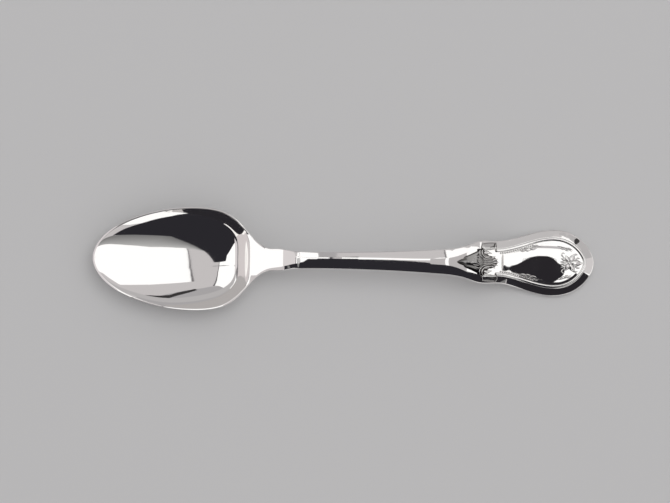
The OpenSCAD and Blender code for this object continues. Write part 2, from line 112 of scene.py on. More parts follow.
@dataclass
class SpoonForm:
    """The spoon's form: the same sizes, tables and curves as the part's source, in millimetres."""

    bowl_length: float = 45.3
    bowl_width: float = 28.8
    bowl_depth: float = 7.2
    bowl_wall: float = 1.05
    rim_land: float = 0.8
    rim_edge: float = 0.9
    neck_length: float = 12.2
    neck_width: float = 5.8
    neck_thickness: float = 3.1
    arch_height: float = 8.6
    stem_length: float = 39.5
    stem_width: float = 5.0
    stem_thickness: float = 2.9
    stem_edge: float = 1.2
    bevel_width: float = 1.5
    bevel_rise: float = 0.75
    ridge_crown: float = 0.06
    step_height: float = 0.35
    handle_length: float = 43.0
    handle_width: float = 18.6
    ear_width: float = 11.9
    handle_thickness: float = 2.2
    flange_width: float = 2.1
    flange_rise: float = 0.8
    thread_width: float = 1.0
    thread_rise: float = 0.55
    bead_diameter: float = 0.5
    bead_pitch: float = 0.62
    bead_count: int = 16
    panel_edge: float = 0.25
    panel_dome: float = 0.75
    groove_width: float = 0.65
    seat_gap: float = 0.02
    bowl_shares: tuple = (
        (-0.0165, 0, 0.892, 0.818, 0.786), (0.033, 0.347, 0.697, 0.788, 1), (0.132, 0.625, 0.436, 0.780, 1),
        (0.276, 0.826, 0.233, 0.783, 1), (0.441, 0.965, 0.118, 0.820, 1), (0.618, 1.014, 0.03, 0.897, 1),
        (0.761, 0.979, 0, 0.94, 1), (0.865, 0.847, 0, 0.903, 1.1), (0.940, 0.597, 0.423, 0.819, 2.1))
    bowl_lead_shares: tuple = (1, 1, 1, 1, 1, 1, 1, 0.5, 0)
    neck_shares: tuple = (
        (0, 1.745, 0.53, 1, 0.2, 0.35), (0.27, 1.025, 0.664, 1.03, 0.4, 0.43), (0.55, 1.14, 0.738, 1, 0.5, 0.77),
        (0.765, 0.916, 0.77, 1, 0.5, 0.87), (0.945, 0.832, 0.795, 1, 0.5, 1))
    stem_shares: tuple = (
        (0.065, 0.955, 0.86, 1.04, 1), (0.24, 0.955, 0.92, 1, 1.02), (0.52, 1.04, 0.943, 0.95, 1.09),
        (0.77, 1.17, 0.965, 0.90, 1.45), (0.95, 1.35, 0.98, 0.86, 1.75))
    ear_shares: tuple = (
        (0.08, 0.62, 1.002, 1.3), (0.177, 0.79, 0.899, 0.95), (0.251, 1.034, 0.75, 1),
        (0.321, 1.0, 0.567, 1), (0.40, 0.983, 0.355, 1))
    round_shares: tuple = (
        (0.498, 0.753, 0.122), (0.609, 0.925, 0), (0.726, 1.022, 0), (0.828, 0.957, 0),
        (0.921, 0.720, 0), (0.984, 0.355, 0), (1.008, 0, 0))
    neck_seam_share: float = 0.3
    stem_seam_share: float = 0.44
    stop_shares: tuple = (0.4, 0.425)
    heel_shares: tuple = ((0.2667, 0), (0.2833, 1), (0.32, 1), (0.34, 0))
    step_shares: tuple = ((0.35, 0), (0.3833, 1.25), (0.4333, 0), (0.44, -1.3), (0.48, 0))
    heel_hollow_share: float = 0.02
    neck_crown_share: float = 0.5
    handle_seam_share: float = 0.6133
    thread_from_share: float = 0.75
    bead_from_share: float = 0.76
    panel_from_share: float = 0.7633
    steep_share: float = 0.35
    table_places: int = 4001

    def __post_init__(self) -> None:
        """Work out the rows, the seams and the tables that are looked up later."""
        self.neck_start = self.bowl_length
        self.stem_start = self.neck_start + self.neck_length
        self.handle_start = self.stem_start + self.stem_length
        self.total_length = self.handle_start + self.handle_length
        self.rows = np.array(self._rows(), float)
        self.last = len(self.rows) - 1
        flip = np.ones(self.rows.shape[1])
        flip[1] = -1
        self.guides = np.vstack([self.rows[1] * flip, self.rows, self.rows[-2] * flip])
        self.neck_seam = self.neck_seam_share * self.last
        self.stem_seam = self.stem_seam_share * self.last
        self.handle_seam = self.handle_seam_share * self.last
        u = np.linspace(0, self.last, self.table_places)
        row, out = self.row_at(u), self.outward(u)
        self.field_s = row[:, 0] - row[:, 2] * out[:, 0] * row[:, 8]
        self.field_z = row[:, 3] + row[:, 4]
        self.field_w = row[:, 1] - row[:, 2] * out[:, 1]
        self.outline_s, self.outline_w, self.outline_u = row[:, 0], row[:, 1], u
        self.panel_inset = self.flange_width + self.thread_width + self.groove_width
        rim = self.inset_points(u[u >= self.panel_from_share * self.last], 1, self.panel_inset)
        self.panel_s, self.panel_w = rim[:, 0], rim[:, 1]
        self.panel_half = self.panel_w.max()

    def _rows(self) -> list[list[float]]:
        """List the control rows from the bowl's tip to the handle's end.

        Returns:
            Rows of distance from the tip, half width, border width, underside, thickness, rise of
            the border, hollow below the rim, edge thickness, lead of the border and bevel's rise.
        """
        rows = []
        for i, (along, half, under, rim, wall) in enumerate(self.bowl_shares):
            under, wall = under * self.bowl_depth, wall * self.bowl_wall
            rim = self.bowl_wall + rim * self.bowl_depth
            edge = self.rim_edge + (self.stem_edge - self.rim_edge) * max(0, (i - 6) / 3)
            rows.append([along * self.bowl_length, half * self.bowl_width / 2, self.rim_land, under, wall, 0,
                         rim - under - wall, edge, self.bowl_lead_shares[i], 0])
        for along, half, under, thick, grown, bevel in self.neck_shares:
            crown = -self.neck_crown_share * self.ridge_crown
            hollow = self.heel_hollow_share * self.bowl_depth if along == 0 else crown
            rows.append([self.neck_start + along * self.neck_length, half * self.neck_width / 2,
                         bevel * self.bevel_width, under * self.arch_height, thick * self.neck_thickness,
                         self.bevel_rise, hollow, self.stem_edge, 0, grown * self.bevel_rise])
        for along, half, under, thick, bevel in self.stem_shares:
            rows.append([self.stem_start + along * self.stem_length, half * self.stem_width / 2,
                         bevel * self.bevel_width, under * self.arch_height, thick * self.stem_thickness,
                         self.bevel_rise, -self.ridge_crown, self.stem_edge, 0, self.bevel_rise])
        tail = [(a, h * self.ear_width / 2, z, b, 0 if i < 3 else 1)
                for i, (a, h, z, b) in enumerate(self.ear_shares)]
        tail += [(a, h * self.handle_width / 2, z, 1, 1) for a, h, z in self.round_shares]
        for along, half, under, border, lead in tail:
            rows.append([self.handle_start + along * self.handle_length, half, border * self.flange_width,
                         under * self.arch_height, self.handle_thickness, self.flange_rise, 0,
                         self.handle_thickness - self.flange_rise, lead, self.flange_rise])
        return rows

    def _blend(self, u: np.ndarray, weights: Callable) -> np.ndarray:
        """Blend the four rows round each place with the given weights.

        Args:
            u: places, counted in control rows.
            weights: gives four weights from the share of the way to the next row.

        Returns:
            One blended row for each place.
        """
        u = np.atleast_1d(np.asarray(u, float))
        i = np.minimum(np.floor(u).astype(int), self.last - 1)
        w = weights((u - i)[:, None])
        return sum(w[k] * self.guides[i + k] for k in range(4))

    def row_at(self, u: np.ndarray) -> np.ndarray:
        """Rows of the smooth form, with the bevel's stop, the heel and the step.

        Args:
            u: places, counted in control rows.

        Returns:
            One row of values for each place.
        """
        row = self._blend(u, lambda t: ((1 - t) ** 3 / 6, (3 * t ** 3 - 6 * t * t + 4) / 6,
                                        (-3 * t ** 3 + 3 * t * t + 3 * t + 1) / 6, t ** 3 / 6))
        share = np.atleast_1d(np.asarray(u, float)) / self.last
        stop = np.interp(share, self.stop_shares, (0, 1))
        lift = self.step_height * np.interp(share, *np.array(self.step_shares).T)
        fill = row[:, 6] * np.interp(share, *np.array(self.heel_shares).T)
        row[:, 4] += fill + lift
        row[:, 6] -= fill
        row[:, 5] = row[:, 9] + (row[:, 5] - row[:, 9]) * stop + np.minimum(lift, 0)
        return row

    def outward(self, u: np.ndarray) -> np.ndarray:
        """Direction square to the outline, at the side where Y is positive.

        Args:
            u: places, counted in control rows.

        Returns:
            One direction of length 1 for each place.
        """
        d = self._blend(u, lambda t: (-(1 - t) ** 2 / 2, (3 * t * t - 4 * t) / 2,
                                      (-3 * t * t + 2 * t + 1) / 2, t * t / 2))
        v = np.stack([-d[:, 1], d[:, 0]], 1)
        return v / np.linalg.norm(v, axis=1)[:, None]

    def inset_points(self, u: np.ndarray, side: np.ndarray | float, distance: np.ndarray | float) -> np.ndarray:
        """Places a given distance inside the outline, as distance along and across."""
        row, out = self.row_at(u), self.outward(u)
        return np.stack([row[:, 0] - distance * out[:, 0], side * (row[:, 1] - distance * out[:, 1])], 1)

    def field(self, s: np.ndarray) -> np.ndarray:
        """Height of the flat field inside the flange at distances from the tip."""
        return np.interp(s, self.field_s, self.field_z)

    def ground(self, s: np.ndarray, y: np.ndarray) -> np.ndarray:
        """Height of the handle's own top, on the field and down the flange.

        Args:
            s: distances from the tip.
            y: distances from the middle.

        Returns:
            The heights.
        """
        inner = np.interp(s, self.field_s, self.field_w)
        outer = np.interp(s, self.outline_s, self.outline_w)
        share = np.clip((np.abs(y) - inner) / np.maximum(outer - inner, 0.01), 0, 1)
        return self.field(s) - self.flange_rise * share

    def panel_top(self, s: np.ndarray, y: np.ndarray) -> np.ndarray:
        """Height of the domed panel's top."""
        width = np.interp(s, self.panel_s, self.panel_w)
        return self.field(s) + self.panel_edge + self.panel_dome * (width ** 2 - y * y) / self.panel_half ** 2

    def cross_curve(self, v: np.ndarray) -> np.ndarray:
        """Share of the hollow that is filled at a place across it."""
        return (1 - self.steep_share) * v * v + self.steep_share * v ** 4

    def centred(self, points: np.ndarray) -> np.ndarray:
        """Shift points from the tip's origin to the part's own, and turn them into metres.

        Args:
            points: places in millimetres, with the distance from the tip first.

        Returns:
            The same places in the shared frame.
        """
        shifted = np.array(points, float)
        shifted[..., 0] -= self.total_length / 2
        return shifted * MM


def drop_selection() -> None:
    """Leave edit mode and deselect every object."""
    if bpy.context.object and bpy.context.object.mode != "OBJECT":
        bpy.ops.object.mode_set(mode="OBJECT")
    bpy.ops.object.select_all(action="DESELECT")


def make_sheet(name: str, points: np.ndarray, closed: bool = True,
               patina_and_painted_shade: np.ndarray | None = None) -> bpy.types.Object:
    """Add a grid primitive and bring its vertices to the places given, then weld what meets.

    Args:
        name: the piece's name.
        points: places in metres, shaped rows by columns by 3.
        closed: fill open ends, so that the piece is a closed solid.
        patina_and_painted_shade: darkness of the silver at each place, from 0 to 1.

    Returns:
        The new object, at the origin.
    """
    drop_selection()
    rows, columns = points.shape[:2]
    bpy.ops.mesh.primitive_grid_add(x_subdivisions=columns - 1, y_subdivisions=rows - 1, size=1)
    piece = bpy.context.object
    piece.name = piece.data.name = name
    piece.data.vertices.foreach_set("co", points.reshape(-1).astype(np.float32))
    if patina_and_painted_shade is not None:
        kept = piece.data.attributes.new("patina_and_painted_shade", "FLOAT", "POINT")
        kept.data.foreach_set("value", patina_and_painted_shade.reshape(-1).astype(np.float32))
    bpy.ops.object.mode_set(mode="EDIT")
    bpy.ops.mesh.select_all(action="SELECT")
    bpy.ops.mesh.remove_doubles(threshold=WELD)
    bpy.ops.mesh.dissolve_degenerate(threshold=WELD)
    if closed:
        bpy.ops.mesh.select_all(action="DESELECT")
        bpy.ops.mesh.select_mode(type="EDGE")
        bpy.ops.mesh.select_non_manifold(extend=False, use_wire=False, use_multi_face=False,
                                         use_non_contiguous=False, use_verts=False)
        bpy.ops.mesh.edge_face_add()
        bpy.ops.mesh.select_mode(type="VERT")
    bpy.ops.mesh.select_all(action="SELECT")
    bpy.ops.mesh.normals_make_consistent(inside=False)
    bpy.ops.object.mode_set(mode="OBJECT")
    bpy.ops.object.shade_smooth()
    piece.select_set(False)
    return piece


def join_pieces(name: str, pieces: Sequence[bpy.types.Object]) -> bpy.types.Object:
    """Join several objects into one.

    Args:
        name: the joined piece's name.
        pieces: the objects.

    Returns:
        The joined piece.
    """
    drop_selection()
    for piece in pieces:
        piece.select_set(True)
    bpy.context.view_layer.objects.active = pieces[0]
    bpy.ops.object.join()
    joined = bpy.context.object
    joined.name = joined.data.name = name
    joined.select_set(False)
    return joined


def smooth_line(places: Sequence[Place], count: int) -> np.ndarray:
    """Draw a smooth line through the places given.

    Args:
        places: the places, along and across.
        count: how many places the line gets.

    Returns:
        The line's places.
    """
    p = np.array(places, float)
    p = np.vstack([2 * p[0] - p[1], p, 2 * p[-1] - p[-2]])
    t = np.linspace(0, len(places) - 1, count)
    i = np.minimum(t.astype(int), len(places) - 2)
    f = (t - i)[:, None]
    a, b, c, d = p[i], p[i + 1], p[i + 2], p[i + 3]
    return 0.5 * (2 * b + (c - a) * f + (2 * a - 5 * b + 4 * c - d) * f ** 2 + (3 * b - a - 3 * c + d) * f ** 3)


def corner(before: np.ndarray, at: np.ndarray, after: np.ndarray, radius: float | np.ndarray,
           steps: int = 5, most_share: float = 0.4, support: float = 1.2) -> list[np.ndarray]:
    """Round a corner of many cross sections at once, with a support point on each side.

    Args:
        before: the point before the corner in each section.
        at: the corner.
        after: the point after it.
        radius: how far back the rounding starts.
        steps: number of segments in the rounding.
        most_share: the most of a side that the rounding takes.
        support: how far back the support points stand, in radii.

    Returns:
        Arrays of points, one for each place along the rounding.
    """
    back, ahead = before - at, after - at
    back_length = np.linalg.norm(back, axis=1)[:, None] + TINY
    ahead_length = np.linalg.norm(ahead, axis=1)[:, None] + TINY
    reach = np.minimum(radius, most_share * np.minimum(back_length, ahead_length))
    start, end = at + back / back_length * reach, at + ahead / ahead_length * reach
    points = [at + back / back_length * reach * support]
    for t in np.linspace(0, 1, steps + 1):
        points.append((1 - t) ** 2 * start + 2 * t * (1 - t) * at + t * t * end)
    points.append(at + ahead / ahead_length * reach * support)
    return points


def wrap(name: str, form: SpoonForm, lines: list[np.ndarray], dark: list[np.ndarray],
         ground: Callable | None = None) -> bpy.types.Object:
    """Make a closed piece from lines that run along its top, side by side.

    Args:
        name: the piece's name.
        form: the spoon's form.
        lines: each line's places, in millimetres.
        dark: how dark each line is painted, with patina and painted shade.
        ground: height of the surface that the underside follows; None joins the sides straight.

    Returns:
        The closed piece.
    """
    if ground:
        for k in range(len(lines) - 2, 0, -1):
            place = lines[k][:, :2]
            lines.append(np.column_stack([place, ground(place[:, 0], place[:, 1]) + form.seat_gap]))
            dark.append(dark[k])
    lines.append(lines[0])
    dark.append(dark[0])
    return make_sheet(name, form.centred(np.stack(lines, 1)), patina_and_painted_shade=np.stack(dark, 1))


@dataclass
class SilverBlank:
    """The spoon's silver body as one skin, and the four pieces that are cut from it.

    The bowl's rim has a narrower and sharper land than the handle, and the fades say between
    which distances from the tip, in millimetres, the one goes over into the other.
    """

    form: SpoonForm
    step: float = 0.1
    end_places: tuple = (0.02, 0.05)
    inner_radius: float = 0.16
    outer_radius: float = 0.34
    rim_share: float = 0.3
    edge_fade: Place = (38, 44)
    land_share: float = 0.55
    land_tilt: float = 0.2
    land_fade: Place = (36, 42)
    lip_share: float = 0.94
    across: int = 30
    overrun: float = 10.0

    def section_points(self, u: np.ndarray) -> np.ndarray:
        """Cross sections of the body with rounded edges.

        Args:
            u: places along the form, in control rows.

        Returns:
            Points in millimetres, shaped places by points by 3.
        """
        form = self.form
        row, out = form.row_at(u), form.outward(u)
        s, w, border, under, thick, rise, hollow, edge, lead, _ = row.T
        border = border * np.interp(s, self.land_fade, (self.land_share, 1))
        s_in = s - border * out[:, 0] * lead
        w_in = np.maximum(w - border * out[:, 1], 0)
        top = under + thick
        inner = np.stack([s_in, w_in, top + hollow], 1)
        tilt = self.land_tilt * border * np.interp(s, self.land_fade, (1, 0))
        rim = np.stack([s, w, top + hollow - rise + tilt], 1)
        low = np.stack([s, w, top + hollow - rise - edge], 1)
        shares = np.linspace(0, 1, self.across + 1)
        upper = [np.stack([s_in, v * w_in, top + hollow * form.cross_curve(v)], 1) for v in shares[:-1]]
        under_side = [np.stack([s, v * w, under + (low[:, 2] - under) * form.cross_curve(v)], 1)
                      for v in shares[-2::-1]]
        lip_fill = form.cross_curve(self.lip_share)
        lip = np.stack([s_in, self.lip_share * w_in, top + hollow * lip_fill], 1)
        heel = np.stack([s, self.lip_share * w, under + (low[:, 2] - under) * lip_fill], 1)
        round_edge = self.outer_radius * np.interp(s, self.edge_fade, (self.rim_share, 1))[:, None]
        half = upper + corner(lip, inner, rim, self.inner_radius) + corner(inner, rim, low, round_edge)
        half += corner(rim, low, heel, round_edge) + under_side
        half = np.stack(half, 1)
        mirrored = half[:, -2:0:-1] * np.array([1, -1, 1])
        return np.concatenate([half, mirrored, half[:, :1]], 1)

    def build(self) -> bpy.types.Object:
        """Make the whole skin and keep its normals as an attribute on its points.

        Returns:
            The skin.
        """
        form = self.form
        marks = {0.0, form.last, form.neck_seam, form.stem_seam, form.handle_seam}
        marks |= set(self.end_places) | {form.last - place for place in self.end_places}
        u = np.array(sorted(marks | set(np.arange(self.step, form.last - self.step / 2, self.step).round(4))))
        blank = make_sheet("spoon_blank", form.centred(self.section_points(u)), closed=False)
        normals = np.zeros(len(blank.data.vertices) * 3, np.float32)
        blank.data.vertices.foreach_get("normal", normals)
        kept = blank.data.attributes.new("form_normal", "FLOAT_VECTOR", "POINT")
        kept.data.foreach_set("vector", normals)
        return blank

    def cut(self, blank: bpy.types.Object, name: str, start: float, end: float) -> bpy.types.Object:
        """Copy the skin, cut it down to one stretch and close its ends.

        Args:
            blank: the whole skin.
            name: the new piece's name.
            start: where the stretch starts, in millimetres from the tip.
            end: where it ends.

        Returns:
            The closed piece, whose normals run on across the seams.
        """
        drop_selection()
        piece = blank.copy()
        piece.data = blank.data.copy()
        piece.name = piece.data.name = name
        bpy.context.scene.collection.objects.link(piece)
        middle = self.form.total_length / 2
        mesh = piece.data
        shell = bmesh.new()
        shell.from_mesh(mesh)
        outside = [f for f in shell.faces if not start < f.calc_center_median().x / MM + middle < end]
        bmesh.ops.delete(shell, geom=outside, context="FACES")
        caps = bmesh.ops.edgeloop_fill(shell, edges=[e for e in shell.edges if e.is_boundary])["faces"]
        bmesh.ops.recalc_face_normals(shell, faces=shell.faces)
        shell.faces.index_update()
        cap_indices = {f.index for f in caps}
        shell.to_mesh(mesh)
        shell.free()
        mesh.update()
        kept = np.zeros(len(mesh.vertices) * 3, np.float32)
        mesh.attributes["form_normal"].data.foreach_get("vector", kept)
        kept = kept.reshape(-1, 3)
        normals = [None] * len(mesh.loops)
        for face in mesh.polygons:
            for index in face.loop_indices:
                vertex = mesh.loops[index].vertex_index
                normals[index] = tuple(face.normal) if face.index in cap_indices else tuple(kept[vertex])
        mesh.normals_split_custom_set(normals)
        mesh.attributes.remove(mesh.attributes["form_normal"])
        return piece

    def pieces(self) -> dict[str, bpy.types.Object]:
        """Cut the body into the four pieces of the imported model.

        Returns:
            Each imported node's name and the piece that stands for it.
        """
        form = self.form
        blank = self.build()
        seams = [float(form.row_at(u)[0, 0]) for u in (form.neck_seam, form.stem_seam, form.handle_seam)]
        seams = [-self.overrun] + seams + [form.total_length + self.overrun]
        names = ("bowl", "neck", "stem", "handle_end")
        made = {node: self.cut(blank, f"{node}_silver", seams[i], seams[i + 1]) for i, node in enumerate(names)}
        bpy.data.objects.remove(blank)
        return made


@dataclass(frozen=True)
class Stroke:
    """One raised leaf, petal or line of the relief, along a smooth line of places in millimetres.

    The shares give its width along it, the groove is the depth of the vein down its middle as a
    share of its rise, and the darks say how dark it is painted at its edge and on its crest: patina
    in the crevice round it, and on the ears' darkest strokes painted shade.
    """

    places: tuple
    width: float
    rise: float
    shares: tuple = (0.15, 0.8, 1.0, 0.75, 0.1)
    groove: float = 0.0
    edge_dark: float = 0.9
    crest_dark: float = 0.0
    squareness: float = 2.0
    vein_half: float = 0.22
    vein_dark_half: float = 0.18
    dark_from: float = 0.55
    dark_full: float = 0.95
    smoothing: int = 5

    def mirrored(self) -> "Stroke":
        """The same stroke on the other side of the spoon."""
        return replace(self, places=tuple((s, -y) for s, y in self.places))

    def build(self, form: SpoonForm, ground: Callable, count: int = 28, across: int = 13) -> bpy.types.Object:
        """Make the stroke as a closed solid that sits on the ground given.

        Args:
            form: the spoon's form.
            ground: height of the surface below, from places along and across.
            count: places along it.
            across: places across it.

        Returns:
            The closed solid, with how dark it is painted: patina, and painted shade on some strokes.
        """
        line = smooth_line(self.places, count)
        run = np.gradient(line, axis=0)
        run /= np.linalg.norm(run, axis=1)[:, None] + TINY
        normal = np.stack([-run[:, 1], run[:, 0]], 1)
        t = np.linspace(0, 1, count)
        share = np.interp(t, np.linspace(0, 1, len(self.shares)), self.shares)
        blur = np.ones(self.smoothing) / self.smoothing
        share = np.convolve(np.pad(share, self.smoothing // 2, mode="edge"), blur, mode="valid")
        columns, dark = [], []
        for v in -np.cos(np.linspace(0, math.pi, across)):
            place = line + (v * share * self.width / 2)[:, None] * normal
            bulge = (1 - abs(v) ** self.squareness) ** (1 / self.squareness)
            bulge -= self.groove * math.exp(-(v / self.vein_half) ** 2)
            height = ground(place[:, 0], place[:, 1]) + form.seat_gap + self.rise * np.sqrt(share) * bulge
            columns.append(np.column_stack([place, height]))
            edge = smooth_step(abs(v), self.dark_from, self.dark_full)
            cut = self.groove * math.exp(-(v / self.vein_dark_half) ** 2)
            dark.append(np.full(count, self.crest_dark + (self.edge_dark - self.crest_dark) * max(edge, cut)))
        return wrap("stroke", form, columns, dark, ground)


@dataclass
class HandleRelief:
    """Thread, panel, beads and leaf work of the handle's end.

    The leaf is dished between its middle and its sides: leaf_dish gives the depth, the place and
    the half width of that as shares. Its lower side is painted darker by the field after leaf_dish: painted shade.
    """

    form: SpoonForm
    edge_patina: float = 0.75
    camber_share: float = 0.4
    path_step: float = 0.06
    thread_across: int = 17
    panel_across: int = 49
    panel_end_places: tuple = (0.04, 0.02, 0.008)
    bead_path_step: float = 0.02
    bead_segments: int = 20
    bead_rings: int = 12
    bead_squash: float = 0.9
    bead_lift_share: float = 0.33
    leaf_along: int = 90
    leaf_across: int = 33
    leaf_dish: tuple = (0.25, 0.45, 0.3)
    leaf_painted_shade: float = 0.12
    palmette_middle: float = 133.1

    def thread(self) -> bpy.types.Object:
        """Make the thread that frames the panel: a rounded cord that runs round the end and back.

        Returns:
            The closed piece.
        """
        form = self.form
        going = np.arange(form.thread_from_share * form.last, form.last, self.path_step)
        u = np.concatenate([going, [form.last], going[::-1]])
        sides = np.concatenate([np.ones(len(going)), [1], -np.ones(len(going))])
        middle = form.flange_width + form.thread_width / 2
        columns, dark = [], []
        for v in -np.cos(np.linspace(0, math.pi, self.thread_across)):
            place = form.inset_points(u, sides, middle + 0.5 * form.thread_width * v)
            camber = self.camber_share * (1 - v * v) + (1 - self.camber_share) * (1 - v ** 10) ** 0.5
            height = form.field(place[:, 0]) + form.seat_gap + (form.thread_rise - form.seat_gap) * camber
            columns.append(np.column_stack([place, height]))
            dark.append(np.full(len(u), self.edge_patina * smooth_step(abs(v), 0.8, 1.0)))
        return wrap("thread_silver", form, columns, dark)

    def panel(self) -> bpy.types.Object:
        """Make the domed panel, with an upright edge.

        Returns:
            The closed piece.
        """
        form = self.form
        start = form.panel_from_share * form.last
        u = np.concatenate([np.arange(start, form.last - self.path_step, self.path_step),
                            form.last - np.array(self.panel_end_places)])
        rim = form.inset_points(u, 1, form.panel_inset)
        across = -np.cos(np.linspace(0, math.pi, self.panel_across))
        columns = []
        for v in across:
            y = rim[:, 1] * v
            columns.append(np.column_stack([rim[:, 0], y, form.panel_top(rim[:, 0], y)]))
        for v in across[::-1]:
            columns.append(np.column_stack([rim[:, 0], rim[:, 1] * v, form.field(rim[:, 0]) + form.seat_gap]))
        columns.append(columns[0])
        return make_sheet("panel_silver", form.centred(np.stack(columns, 1)))

    def bead_row(self) -> bpy.types.Object:
        """Make both rows of beads: one bead is modelled and copied along the groove.

        Returns:
            All the beads as one piece.
        """
        form = self.form
        u = np.arange(form.bead_from_share * form.last, form.last, self.bead_path_step)
        path = form.inset_points(u, 1, form.flange_width + form.thread_width + form.groove_width / 2)
        run = np.concatenate([[0], np.cumsum(np.linalg.norm(np.diff(path, axis=0), axis=1))])
        drop_selection()
        bpy.ops.mesh.primitive_uv_sphere_add(segments=self.bead_segments, ring_count=self.bead_rings,
                                             radius=form.bead_diameter / 2 * MM)
        first = bpy.context.object
        first.scale.z = self.bead_squash
        bpy.ops.object.transform_apply(location=False, rotation=False, scale=True)
        bpy.ops.object.shade_smooth()
        copies = []
        for k in range(form.bead_count):
            s = float(np.interp(k * form.bead_pitch, run, path[:, 0]))
            y = float(np.interp(k * form.bead_pitch, run, path[:, 1]))
            for side in (1, -1):
                copy = first.copy()
                copy.data = first.data.copy()
                bpy.context.scene.collection.objects.link(copy)
                z = float(form.field(s)) + form.bead_diameter * self.bead_lift_share
                copy.location = Vector(form.centred(np.array([s, side * y, z])))
                copies.append(copy)
        bpy.data.objects.remove(first)
        for copy in copies:
            copy.select_set(True)
        bpy.context.view_layer.objects.active = copies[0]
        bpy.ops.object.transform_apply(location=True, rotation=False, scale=False)
        return join_pieces("bead_rows_silver", copies)

    def both_sides(self, strokes: Sequence[Stroke]) -> list[Stroke]:
        """The strokes and their mirror images."""
        return [side for stroke in strokes for side in (stroke, stroke.mirrored())]

    def draw(self, name: str, strokes: Sequence[Stroke], ground: Callable) -> bpy.types.Object:
        """Make the strokes on the ground given and join them into one piece."""
        return join_pieces(name, [stroke.build(self.form, ground) for stroke in strokes])

    def leaf_cap(self) -> bpy.types.Object:
        """Make the pointed leaf where the stem runs into the handle's end.

        Returns:
            The leaf with its fold and veins.
        """
        form = self.form
        along = ((101.5, 0.06), (101.9, 0.4), (102.6, 0.75), (103.3, 1.0), (103.7, 1.5), (105.2, 2.15), (106.9, 2.95),
                 (108.1, 3.6), (108.8, 3.7), (109.3, 3.1), (110.3, 2.0), (111.2, 1.7), (112.2, 1.25), (112.9, 0.3))
        outline = smooth_line(along, self.leaf_along)
        thick = np.interp(outline[:, 0], (101.5, 102.2, 104, 107.5, 109, 113), (0.2, 0.5, 0.55, 0.5, 0.3, 0.15))
        plate = np.interp(outline[:, 0], (101.5, 103, 104.5, 107, 108.5, 113), (0.93, 0.86, 0.76, 0.68, 0.85, 0.88))
        depth, place, half = self.leaf_dish
        columns, dark = [], []
        for v in -np.cos(np.linspace(0, math.pi, self.leaf_across)):
            y = outline[:, 1] * v
            dish = 1 - v ** 6 - depth * math.exp(-((abs(v) - place) / half) ** 2)
            height = form.ground(outline[:, 0], y) + form.seat_gap + thick * dish
            columns.append(np.column_stack([outline[:, 0], y, height]))
            # Painted shade: the leaf's lower side, towards negative Y, is painted darker
            lower = self.leaf_painted_shade * smooth_step(np.array(-v), 0.0, 0.6)
            dark.append(np.clip(plate + lower + (1 - plate) * smooth_step(abs(v), 0.8, 0.97), 0, 1))
        body = wrap("leaf", form, columns, dark, form.ground)
        fold = Stroke(((102.9, 0), (103.8, 0.02), (104.9, 0)), 0.42, 0.72, (0.3, 1, 0.9, 0.5))
        leaf = Stroke(((104.9, 0), (105.7, 0), (106.9, 0)), 1.0, 0.72, (0.1, 0.8, 1, 0.6, 0.2), 0.5, 0.9, 0.25)
        veins = self.both_sides([
            Stroke(((105.6, 0.35), (106.3, 0.75), (107.3, 0.85), (108.2, 0.6)), 0.36, 0.68),
            Stroke(((106.2, 0.95), (106.9, 1.5), (107.6, 1.6), (108.1, 1.2)), 0.34, 0.64),
            Stroke(((106.8, 0.15), (107.6, 0.32), (108.6, 0.25)), 0.3, 0.7)])
        parts = [stroke.build(form, form.ground) for stroke in [fold, leaf] + veins]
        return join_pieces("leaf_cap_silver", [body] + parts)

    def scrolls(self) -> bpy.types.Object:
        """Make the volutes and fronds behind the leaf, with the bosses and ears beside them.

        Returns:
            All of them as one piece.
        """
        line = (0.35, 1, 1, 1, 0.6)
        fronds = self.both_sides([
            Stroke(((112.2, 0.95), (111.0, 1.15), (109.7, 1.3), (108.8, 1.95), (108.5, 2.8), (108.75, 3.55)), 0.4, 0.6,
                   line),
            Stroke(((111.6, 0.62), (110.3, 0.7), (109.0, 0.95), (108.1, 1.7), (107.8, 2.7), (108.0, 3.4)), 0.34, 0.62,
                   line),
            Stroke(((108.0, 0.24), (109.3, 0.3), (110.8, 0.28), (111.9, 0.4)), 0.3, 0.62, line),
            Stroke(((109.3, 1.85), (109.7, 1.62), (110.4, 1.6), (110.9, 1.75)), 0.3, 0.55, line),
            Stroke(((111.0, 1.0), (111.7, 1.35), (112.3, 1.65)), 0.5, 0.5, (0.3, 1, 0.8, 0.2), 0.4),
            Stroke(((111.5, 0.5), (112.3, 0.75), (113.0, 0.9)), 0.5, 0.5, (0.3, 1, 0.8, 0.2), 0.4)])
        middle = Stroke(((111.3, 0), (112.3, 0), (113.3, 0)), 0.55, 0.5, (0.3, 1, 0.8, 0.15), 0.4)
        bosses = self.both_sides([
            Stroke(((109.1, 2.55), (109.9, 2.72), (111.3, 2.4)), 1.15, 0.6, (0.5, 1, 0.9, 0.5, 0.15), 0, 0.5)])
        ears = self.both_sides([
            Stroke(((108.75, 4.3), (110.5, 4.5), (112.6, 4.55)), 2.0, 0.4, (0.95, 1, 1, 0.95), 0, 0.75, 0.3, 5.0),
            Stroke(((108.7, 5.3), (108.65, 4.2), (109.2, 3.55), (110.6, 3.5), (112.5, 3.7)), 0.34, 0.72, line),
            # Painted shade: the next two nearly black strokes paint the shadow under each ear's roll and at its end
            Stroke(((110.6, 4.15), (111.4, 4.3), (111.9, 4.5)), 0.4, 0.62, line, 0, 1.0, 0.8),
            Stroke(((111.9, 4.0), (112.0, 4.7), (112.2, 5.3)), 0.55, 0.62, line, 0, 1.0, 0.9),
            Stroke(((112.6, 5.2), (112.75, 4.5), (112.6, 3.75)), 0.26, 0.66, line)])
        return self.draw("scrolls_silver", fronds + [middle] + bosses + ears, self.form.ground)

